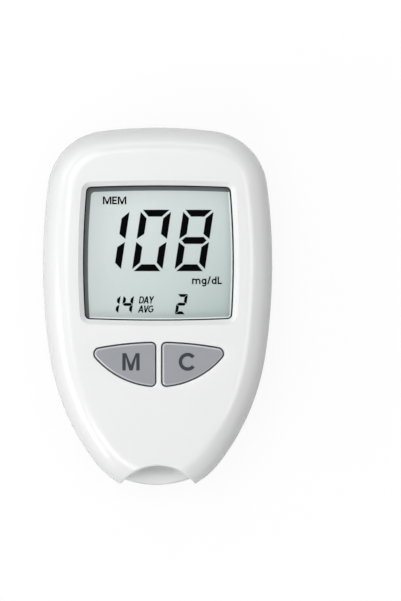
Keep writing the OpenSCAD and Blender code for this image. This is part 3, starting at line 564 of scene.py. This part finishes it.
# A pale ring on the display that is left showing at the near and right sides: a painted highlight for
# the lens's edge catching light.
painted_highlight_edge = flat_ring("display_painted_highlight", window_outline(0.1), window_outline(-PAINTED_HIGHLIGHT_W),
                      display_z + FILM_GAP, display_z + PLATE_T)
painted_highlight_edge.data.materials.append(display_with_painted_light("display_painted_highlight", [(0, (0.8, 0.84, 0.83, 1)),
                                                                (1, (0.8, 0.84, 0.83, 1))]))
# A dark sheet on the display along the far and left edges of the window: the painted shadow of the
# window's edge.
painted_shadow_band = flat_ring("display_painted_shadow", window_outline(0.3), shadow_band_opening(),
                 display_z + FILM_GAP + PLATE_T, display_z + FILM_GAP + 2 * PLATE_T)
painted_shadow_band.data.materials.append(moulded("painted_shadow", (0.2, 0.212, 0.212), 0.6, 0.02))
for piece in (gasket, painted_highlight_edge, painted_shadow_band):
    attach(piece, "meter")

# ---- Display marks ----
# The liquid crystal's dark segments: three large figures, three small ones and the plain
# legends for memory, unit and average, all thin flat shapes on the display glass.
MARK_THICK = 0.04
MARK_LEAN = 0.15
MARK_SHIFT = (-0.35, -0.1)
INK_GLOSS = 0.01
mark_z = display_z + 2 * FILM_GAP


def ink(name, colour):
    """A dark layer with hardly any gloss of its own, a little uneven."""
    material, wire = new_material(name)
    place = wire.node("TexCoord", None, None, "Object")
    uneven = wire.node("TexNoise", None, {"Vector": place, "Scale": 900.0})
    tint = wire.node("Mix", {"data_type": "RGBA"}, {0: uneven, 6: (*[c * 0.85 for c in colour], 1),
                                                    7: (*colour, 1)}, 2)
    finish_with(wire, wire.node("BsdfPrincipled", None, {"Base Color": tint, "Roughness": 0.6,
                                                         "Specular IOR Level": INK_GLOSS}))
    return material


mark_finish = ink("display_mark", (0.001, 0.001, 0.0012))


def flat_marks(name, shapes, z, thick=MARK_THICK):
    """Thin plates from outlines, as one piece."""
    vertices, faces = [], []
    for shape in shapes:
        base, count = len(vertices), len(shape)
        area = sum(a[0] * b[1] - b[0] * a[1] for a, b in zip(shape, list(shape[1:]) + [shape[0]]))
        shape = shape if area > 0 else list(shape)[::-1]
        vertices += [(x * MM, y * MM, (z + h) * MM) for h in (0, thick) for x, y in shape]
        under, over = range(base, base + count), range(base + count, base + 2 * count)
        faces += [tuple(under)[::-1], tuple(over)]
        faces += [(base + i, base + (i + 1) % count, base + count + (i + 1) % count, base + count + i)
                  for i in range(count)]
    return new_piece(name, vertices, faces)


def figure(lit, x, y, w, h, t, gap=0.27):
    """A seven-segment figure with leaning, mitred bars; lit names the bars that show."""
    inner, waist, start = (gap + 0.98) * t, h / 2 + 0.8 * gap * t, (0.14 + 0.9 * gap) * t
    top = [(gap * t, h), (w - gap * t, h), (w - inner, h - t), (inner, h - t)]
    upper = [(0, h - 1.1 * gap * t), (0, waist), (t, waist + 0.74 * t), (t, h - inner)]
    half = [(start, h / 2), (start + t / 2, h / 2 + t / 2), (w - start - t / 2, h / 2 + t / 2)]
    middle = half + [(w - px, h - py) for px, py in half]
    mirror_x, mirror_y = (lambda s: [(w - a, b) for a, b in s]), (lambda s: [(a, h - b) for a, b in s])
    bars = {"a": top, "f": upper, "b": mirror_x(upper), "g": middle, "e": mirror_y(upper),
            "c": mirror_y(mirror_x(upper)), "d": mirror_y(top)}
    return [[(x + a + MARK_LEAN * b, y + b) for a, b in bars[bar]] for bar in lit]


# The bars that are lit and where each figure starts. The small ones add their width and height.
FIGURES = (("bc", -17.8), ("abcdef", -6.7), ("abcdefg", 4.65))
FIGURE_Y, FIGURE_W, FIGURE_H, FIGURE_T = 9.65, 8.1, 16.4, 1.83
SMALL_FIGURES = (("bc", -11.48, -1.6, 1.1, 4.75), ("bcfg", -9.6, -1.6, 2.8, 4.75),
                 ("abged", 4.78, -1.86, 2.7, 5.4))
SMALL_T, SMALL_GAP = 0.78, 0.1
shapes = []
for lit, x in FIGURES:
    shapes += figure(lit, x, FIGURE_Y, FIGURE_W, FIGURE_H, FIGURE_T)
for lit, x, y, w, h in SMALL_FIGURES:
    shapes += figure(lit, x, y, w, h, SMALL_T, SMALL_GAP)


def pen(path, t):
    """The outline of a stroke of width t along a path, with mitred corners."""
    path = np.array(path, float)
    ways = np.diff(path, axis=0)
    sides = np.column_stack([-ways[:, 1], ways[:, 0]]) / np.hypot(*ways.T)[:, None]
    corner = np.vstack([sides[:1], sides]) + np.vstack([sides, sides[-1:]])
    reach = corner * t / (corner ** 2).sum(1)[:, None]
    return np.vstack([path + reach, (path - reach)[::-1]]).tolist()


def bow(x, y, w, h, start, end, steps=12):
    """Points along part of an ellipse with half axes w and h."""
    turns = np.radians(np.linspace(start, end, steps + 1))
    return [(x + w * math.cos(a), y + h * math.sin(a)) for a in turns]


def vee(y, w, h, t):
    """Two strokes that meet in a blunt point at height y, above it where h is negative."""
    return [(0, y + h), (t, y + h), (w / 2, y + h * t / (w - t)), (w - t, y + h), (w, y + h),
            ((w + t) / 2, y), ((w - t) / 2, y)]


def letter_m(w, t):
    """Two uprights and a pointed middle."""
    half = [(0, 0), (0, 1), (1.15 * t, 1), (w / 2, 0.33)]
    inner = [(w / 2 + t / 2, 0), (w / 2 - t / 2, 0), (t, 0.78), (t, 0)]
    return half + [(w - a, b) for a, b in half[2::-1]] + [(w - t, 0), (w - t, 0.78)] + inner


def alphabet(t):
    """Drawn letters as (width, outlines), in units of the capitals' height, from strokes of width t."""
    e = t / 2
    bowl = pen(bow(0.33, 0.36, 0.33 - e, 0.36 - e, 0, 360, 24), t)
    stem = 0.66 - e
    return {"M": (1.09, [letter_m(1.09, t)]),
            "E": (0.62, [pen([(0.62, 1 - e), (e, 1 - e), (e, e), (0.62, e)], t),
                         pen([(e, 0.5), (0.56, 0.5)], t)]),
            "L": (0.56, [pen([(e, 1), (e, e), (0.56, e)], t)]),
            "D": (0.66, [pen([(e, 0.5), (e, e)] + bow(0.28, 0.5, 0.38 - e, 0.5 - e, -90, 90)
                            + [(e, 1 - e), (e, 0.5)], t)]),
            "A": (0.76, [vee(1, 0.76, -1, t * 1.15), pen([(0.16, 0.3), (0.6, 0.3)], t)]),
            "V": (0.7, [vee(0, 0.7, 1, t * 1.15)]),
            "Y": (0.7, [vee(0.42, 0.7, 0.58, t * 1.2), pen([(0.35, 0.5), (0.35, 0)], t)]),
            "G": (0.76, [pen(bow(0.4, 0.5, 0.4 - e, 0.5 - e, 50, 340)
                             + [(0.76 - e, 0.48), (0.45, 0.48)], t)]),
            "m": (1.12, [pen([(e, 0), (e, 0.74)], t)]
                  + [pen(bow(x, 0.4, 0.28 - e / 2, 0.34 - e, 180, 0) + [(x + 0.28 - e / 2, 0)], t)
                     for x in (0.28 + e / 2, 0.84 - e / 2)]),
            "g": (0.66, [bowl, pen([(stem, 0.72)] + bow(0.33, 0, stem - 0.33, 0.22, 0, -150), t)]),
            "/": (0.42, [pen([(0.05, -0.02), (0.37, 1.02)], t)]),
            "d": (0.66, [bowl, pen([(stem, 1), (stem, 0)], t)])}


# Each legend's start, the height of its capitals, and its gap, stroke and lean in those heights.
LEGENDS = (("MEM", -14.42, 27.5, 2.08, 0.1, 0.19, 0), ("mg/dL", 9.38, 6.2, 2.02, 0.13, 0.18, 0),
           ("DAY", -4.85, 1.02, 1.92, -0.05, 0.17, 0.15), ("AVG", -5.1, -1.4, 1.9, -0.04, 0.17, 0.15))
for word, x, y, h, gap, t, lean in LEGENDS:
    for letter in word:
        wide, outlines = alphabet(t)[letter]
        shapes += [[(x + h * (a + lean * b), y + h * b) for a, b in outline] for outline in outlines]
        x += h * (wide + gap)
shapes = [[(x + MARK_SHIFT[0], y + MARK_SHIFT[1]) for x, y in shape] for shape in shapes]
display_marks = flat_marks("display_marks", shapes, mark_z)
display_marks.data.materials.append(mark_finish)
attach(display_marks, "meter")

# ---- Keys ----
# Two crescent keys, moulded in grey plastic and painted silver-grey, with rounded upper
# edges. They stand a little above the face, held by the rubber mat under them, and each
# has one letter printed on it.
# The second value is the height down a key's side over which its painted shade and painted highlight
# run.
KEY_PLAY, KEY_SHADE_SPAN = 0.25, 0.6
KEY_BEVEL = ((0, 0.5), (0.04, 0.34), (0.14, 0.2), (0.34, 0.07), (0.48, 0), (0.56, 0))
KEY_UNDER, LETTER_SINK = 0.03, 0.015
KEY_LETTER_Y = -14.58
key_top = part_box("button_m")[1][2] / MM - KEY_UNDER


def keys_with_painted_light():
    """Silver-grey paint, with a painted highlight paler along the bevel and painted shade dark down the
    sides, where they stand in the gap round the key.
    """
    material, wire = new_material("key_paint_and_painted_light")
    place = wire.node("TexCoord", None, None, "Object")
    up = wire.node("MapRange", None, {"Value": place.part(2), "From Min": (key_top - KEY_SHADE_SPAN) * MM,
                                      "From Max": key_top * MM})
    # Dark at the foot, pale along the bevel, then the face's grey: painted shade down the sides and a
    # painted highlight on the bevel.
    coat = wire.node("ValToRGB", {"stops": [(0, (0.03, 0.03, 0.035, 1)), (0.3, (0.04, 0.042, 0.045, 1)),
                                            (0.5, (0.62, 0.63, 0.65, 1)), (0.96, (0.48, 0.49, 0.52, 1)),
                                            (1, (0.375, 0.387, 0.415, 1))]}, {0: up})
    cloud = wire.node("TexNoise", None, {"Vector": place, "Scale": 90.0, "Detail": 3.0})
    flake = wire.node("TexNoise", None, {"Vector": place, "Scale": 5000.0, "Detail": 1.0})
    fade = wire.node("Mix", {"data_type": "RGBA"}, {0: cloud, 6: (0.96, 0.96, 0.96, 1), 7: WHITE}, 2)
    tint = wire.node("Mix", {"data_type": "RGBA", "blend_type": "MULTIPLY"},
                     {0: 1.0, 6: coat, 7: fade}, 2)
    bump = wire.node("Bump", None, {"Height": flake, "Strength": 0.03, "Distance": 0.00002})
    finish_with(wire, wire.node("BsdfPrincipled", None,
                                {"Base Color": tint, "Metallic": 0.15, "Normal": bump,
                                 "Roughness": 0.3 + 0.06 * (cloud - 0.5)}))
    return material


key_finish = keys_with_painted_light()
letter_finish = moulded("key_letter", (0.025, 0.032, 0.038), 0.5, 0.05)


def key_letter_c(x, y, h, stroke):
    """An open round ring."""
    outer, inner = h / 2, h / 2 - stroke
    return [bow(x, y, outer, outer, 38, 322, 40) + bow(x, y, inner, inner, 322, 38, 40)]


def key_letter_m(x, y, w, h, stroke):
    """The display's M, drawn larger."""
    return [[(x - w / 2 + a * h, y - h / 2 + b * h) for a, b in letter_m(w / h, stroke / h)]]


for side, node, body, shapes in (
        (-1, "button_m", "m_key", key_letter_m(-7.4, KEY_LETTER_Y, 4.6, 4.6, 0.9)),
        (1, "button_c", "c_key", key_letter_c(7.7, KEY_LETTER_Y, 4.8, 0.95))):
    levels = [(-KEY_PLAY, UNDER_Z - 0.5)]
    levels += [(-KEY_PLAY - inward, key_top - deep) for inward, deep in KEY_BEVEL]
    cap = prism(node + "_cap", [at_height(key_outline(side, g), z) for g, z in levels])
    soften(cap)
    cap.data.materials.append(key_finish)
    letter = flat_marks(node + "_letter", shapes, key_top - LETTER_SINK)
    letter.data.materials.append(letter_finish)
    for piece in (cap, letter):
        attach(piece, body)
    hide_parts(node)

# ---- Inside pieces ----
# The board, its parts, the strip socket, the rubber mat and the cells keep their built
# shapes and take the finish of what they are made of.
rubber = moulded("grey_silicone", (0.45, 0.45, 0.46), 0.6, 0.1)
carbon = moulded("carbon_rubber", (0.02, 0.02, 0.02), 0.7, 0.1)
black = moulded("black_plastic", (0.02, 0.02, 0.022), 0.45, 0.1)


def metal(name, colour, roughness):
    """Plated metal with faint drawing lines."""
    material, wire = new_material(name)
    place = wire.node("TexCoord", None, None, "Object")
    line = wire.node("TexNoise", None, {"Vector": place, "Scale": 900.0, "Detail": 4.0})
    finish_with(wire, wire.node("BsdfPrincipled", None,
                                {"Base Color": (*colour, 1), "Metallic": 1.0,
                                 "Roughness": roughness + 0.15 * (line - 0.5),
                                 "Normal": wire.node("Bump", None, {"Height": line, "Strength": 0.03,
                                                                    "Distance": 0.00003})}))
    return material


steel = metal("nickel_plate", (0.62, 0.61, 0.6), 0.3)
gold = metal("gold_plate", (0.85, 0.62, 0.28), 0.25)
board = moulded("solder_mask", (0.02, 0.16, 0.07), 0.35, 0.05, 0.3, 0.2)
ceramic = moulded("ceramic", (0.42, 0.32, 0.2), 0.5)
sleeve = moulded("cell_sleeve", (0.22, 0.24, 0.28), 0.3, 0.02, 0.4)
for nodes, finish in ((("keypad_mat", "dome_web_m", "dome_web_c"), rubber),
                      (("carbon_pill_m", "carbon_pill_c"), carbon),
                      (("microcontroller", "buzzer", "strip_connector"), black),
                      (("crystal", "battery_bridge", "battery_plus_contact", "battery_minus_spring",
                        "housing_screws", "board_screws"), steel),
                      (("strip_contacts",), gold), (("main_board",), board),
                      (("board_capacitors",), ceramic), (("battery_left", "battery_right"), sleeve)):
    for node in nodes:
        dress(node, finish)

# ---- Rear shell ----
# The lower half of the case, in the same plastic with a finer, matt skin. Its end reaches
# out as a round tongue under the scoop. It holds the battery well and four screw pockets.
REAR_STEP, REAR_ROLL, SEAM_R = 0.6, 8, 0.8
TONGUE_R, TONGUE_ROLL, TONGUE_CLEAR, TONGUE_DRAFT = 25.8, 6, 7.8, 0.05
DISH_D, DISH_START, TONGUE_FALL, DISH_STEPS = 1.4, 2.2, 0.5, 160
SCREW_SPOTS = ((18.6, 40.5), (15, -33))
POST_R, POCKET_R, POCKET_D, POCKET_EDGE, HOLE_R = 2.5, 2.2, 4.2, 0.3, 1.15
TONGUE_T, SEAT_GAP = 2.4, 0.3
WELL_WALL, WELL_ROOF, CELL_SLACK = 1.2, 1.0, 0.3
DOOR_PLAY, RUNNER_SIDE, RUNNER_OVER, RUNNER_END = 0.25, 1.95, 1.35, 3
TONGUE_MIDDLE = np.array([0, END_Y + TONGUE_R])
door_low, door_high = (np.array(corner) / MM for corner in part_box("battery_door"))
cell_high = np.array(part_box("battery_right")[1]) / MM
RAIL_W, RAIL_T = 1.0, 0.8
well_x = cell_high[0] + CELL_SLACK
well_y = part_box("battery_bridge")[0][1] / MM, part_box("battery_plus_contact")[1][1] / MM
well_z = cell_high[2] + SEAT_GAP / 2
rail_z = door_high[2] - RAIL_T


def rear_outline(inset, z, tongue_inset):
    """The shell's outline, held inside the tongue's round end."""
    points = shell_outline(inset)
    lift = min(z, TONGUE_ROLL)
    reach = math.sqrt(max((TONGUE_ROLL - tongue_inset) ** 2 - (TONGUE_ROLL - lift) ** 2, 0))
    limit = TONGUE_R - TONGUE_ROLL + reach - TONGUE_DRAFT * max(z - TONGUE_ROLL, 0)
    away = points - TONGUE_MIDDLE
    shrink = np.minimum(1, limit / np.hypot(*away.T))
    shrink[points[:, 1] > TONGUE_MIDDLE[1] - TONGUE_CLEAR] = 1
    return TONGUE_MIDDLE + away * shrink[:, None]


def rear_form(inset, high, seam=0.0):
    """The rear shell's outer form, or its inside where inset is the wall, rounded at the seam."""
    levels = []
    for turn in np.radians(np.linspace(0, 90, 17)):
        z = REAR_ROLL - (REAR_ROLL - inset) * math.cos(turn)
        out = REAR_STEP + inset + (REAR_ROLL - inset) * (1 - math.sin(turn))
        levels.append(at_height(rear_outline(out, z, inset), z))
    for turn in np.radians(np.linspace(0, 90, 9 if seam else 2)):
        z = high - seam * (1 - math.sin(turn))
        out = inset + seam * (1 - math.cos(turn))
        if seam or turn:
            levels.append(at_height(rear_outline(REAR_STEP + out, z, out), z))
    return loft("rear_shell", levels)


def tongue_height(points):
    """Height of the tongue's top, which dips towards the scoop's wall and falls away at its end."""
    along = points[:, 1] - END_Y
    dip = DISH_D * (np.clip(along - DISH_START, 0, None) / (SCOOP_R - SCOOP_OUT - DISH_START)) ** 2
    return PART_Z - dip - TONGUE_FALL * (np.clip(DISH_START - along, 0, None) / DISH_START) ** 2


def gather(pieces):
    """Joins pieces that don't touch into one object."""
    vertices, faces = [], []
    for piece in pieces:
        base = len(vertices)
        vertices += [tuple(v.co) for v in piece.data.vertices]
        faces += [tuple(base + v for v in face.vertices) for face in piece.data.polygons]
        bpy.data.objects.remove(piece)
    return new_piece("gathered", vertices, faces)


def at_screws(name, levels):
    """The same turned solid at each of the four screws."""
    return gather([drum(name, levels, (side * x, y), 48) for x, y in SCREW_SPOTS for side in (-1, 1)])


rear_shell = rear_form(0, PART_Z, SEAM_R)
cavity = rear_form(WALL, PART_Z + PAST)
well_out = well_x + WELL_WALL
pad_x = door_high[0] + DOOR_PLAY + RUNNER_SIDE
combine(cavity, block("runner_pad", (-pad_x, pad_x), (door_low[1] - RUNNER_END, TOP_Y + PAST),
                      (-PAST, door_high[2] + DOOR_PLAY + RUNNER_OVER)))
well_wall_y = (well_y[0] - WELL_WALL, well_y[1] + WELL_WALL)
above = PART_Z + 2 * PAST
combine(cavity, block("well_wall", (-well_out, well_out), well_wall_y, (0, above)))
combine(cavity, at_screws("post", [(POST_R, 0), (POST_R, above)]))
ledge_r = SCOOP_R + WALL + SEAT_GAP
combine(cavity, drum("tongue_floor", [(ledge_r, PART_Z - TONGUE_T), (ledge_r, above)], SCOOP_MIDDLE))
combine(rear_shell, cavity)
combine(rear_shell, drum("tongue_dish", [(SCOOP_R, tongue_height), (SCOOP_R, above)],
                         SCOOP_MIDDLE, DISH_STEPS))
combine(rear_shell, block("well_roof", (-well_out, well_out), well_wall_y,
                          (PART_Z - PAST, well_z + WELL_ROOF)), "UNION")
combine(rear_shell, block("well", (-well_x, well_x), well_y, (-PAST, well_z)))
gap_x = door_high[0] - RAIL_W + DOOR_PLAY
gap_y = (door_low[1] - DOOR_PLAY, TOP_Y + PAST)
combine(rear_shell, block("door_gap", (-gap_x, gap_x), gap_y, (-PAST, door_high[2] + DOOR_PLAY)))
combine(rear_shell, block("rail_gap", (-gap_x - RAIL_W, gap_x + RAIL_W), gap_y,
                          (rail_z - DOOR_PLAY, door_high[2] + DOOR_PLAY)))
combine(rear_shell, at_screws("screw_pocket", [(POCKET_R + 2 * POCKET_EDGE, -POCKET_EDGE),
                                               (POCKET_R, POCKET_EDGE), (POCKET_R, POCKET_D)]))
combine(rear_shell, at_screws("screw_hole", [(HOLE_R, POCKET_D - PAST), (HOLE_R, above)]))
soften(rear_shell)
rear_finish = moulded("rear_shell", (0.84, 0.843, 0.847), 0.5, 0.06)
rear_shell.data.materials.append(rear_finish)
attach(rear_shell, "meter")
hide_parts("rear_housing")

# ---- Battery door ----
# A flush cover over the two cells. It slides off towards the top end, pushed by a thumb
# in the ribbed recess near its closed end, and its end carries on the shell's rounding.
THUMB_IN, THUMB_W, THUMB_L, THUMB_D, THUMB_STEPS = 7, 18, 9, 0.8, 32
RIDGES, RIDGE_PITCH, RIDGE_W, RIDGE_H, RIDGE_TOP, DOOR_EDGE = 5, 1.8, 0.8, 0.5, 0.15, 0.2
thumb_y = door_low[1] + THUMB_IN
door_y = (door_low[1], TOP_Y + PAST)
door_x = door_high[0] - RAIL_W
battery_cover = rear_form(0, PART_Z)
levels = [(2 * DOOR_EDGE, door_low[2] - DOOR_EDGE), (0, door_low[2] + DOOR_EDGE), (0, door_high[2])]
sill = prism("door_plate", [at_height([(door_x - g, door_y[0] + g), (door_x - g, door_y[1]),
                                       (g - door_x, door_y[1]), (g - door_x, door_y[0] + g)], z)
                            for g, z in levels])
combine(sill, block("rails", (-door_high[0], door_high[0]), door_y, (rail_z, door_high[2])), "UNION")
combine(battery_cover, sill, "INTERSECT")
combine(battery_cover, block("sink", (-BODY_W, BODY_W), (2 * END_Y, 2 * TOP_Y), (-PAST, door_low[2])))
reach = (THUMB_W - THUMB_L) / 2


def thumb_outline(grow):
    """A slot with round ends, across the door."""
    end_r = THUMB_L / 2 + grow
    half = [np.array([reach, thumb_y]) + end_r * toward(90 - 180 * k / THUMB_STEPS)
            for k in range(THUMB_STEPS + 1)]
    return both_sides([(0, thumb_y + end_r)] + half + [(0, thumb_y - end_r)])


floor_z = door_low[2] + THUMB_D
levels = [(0.5, door_low[2] - 0.3), (0.2, door_low[2])]
levels += [(THUMB_D * (math.cos(a) - 1), door_low[2] + THUMB_D * math.sin(a))
           for a in np.radians(np.linspace(0, 90, 7))]
thumb_cut = loft("thumb_recess", [at_height(thumb_outline(g), z) for g, z in levels])
for k in range(RIDGES):
    y = thumb_y + (k - RIDGES // 2) * RIDGE_PITCH
    half = [(RIDGE_W / 2, floor_z + PAST), (RIDGE_W / 2, floor_z - RIDGE_H + 0.2),
            (RIDGE_TOP, floor_z - RIDGE_H)]
    profile = [(y - w, z) for w, z in half] + [(y + w, z) for w, z in half[::-1]]
    combine(thumb_cut, prism("ridge", [[(x, *point) for point in profile] for x in (-THUMB_W, THUMB_W)]))
combine(battery_cover, thumb_cut)
soften(battery_cover)
battery_cover.name = "battery_cover"
battery_cover.data.materials.append(rear_finish)
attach(battery_cover, "door")
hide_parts("battery_door")
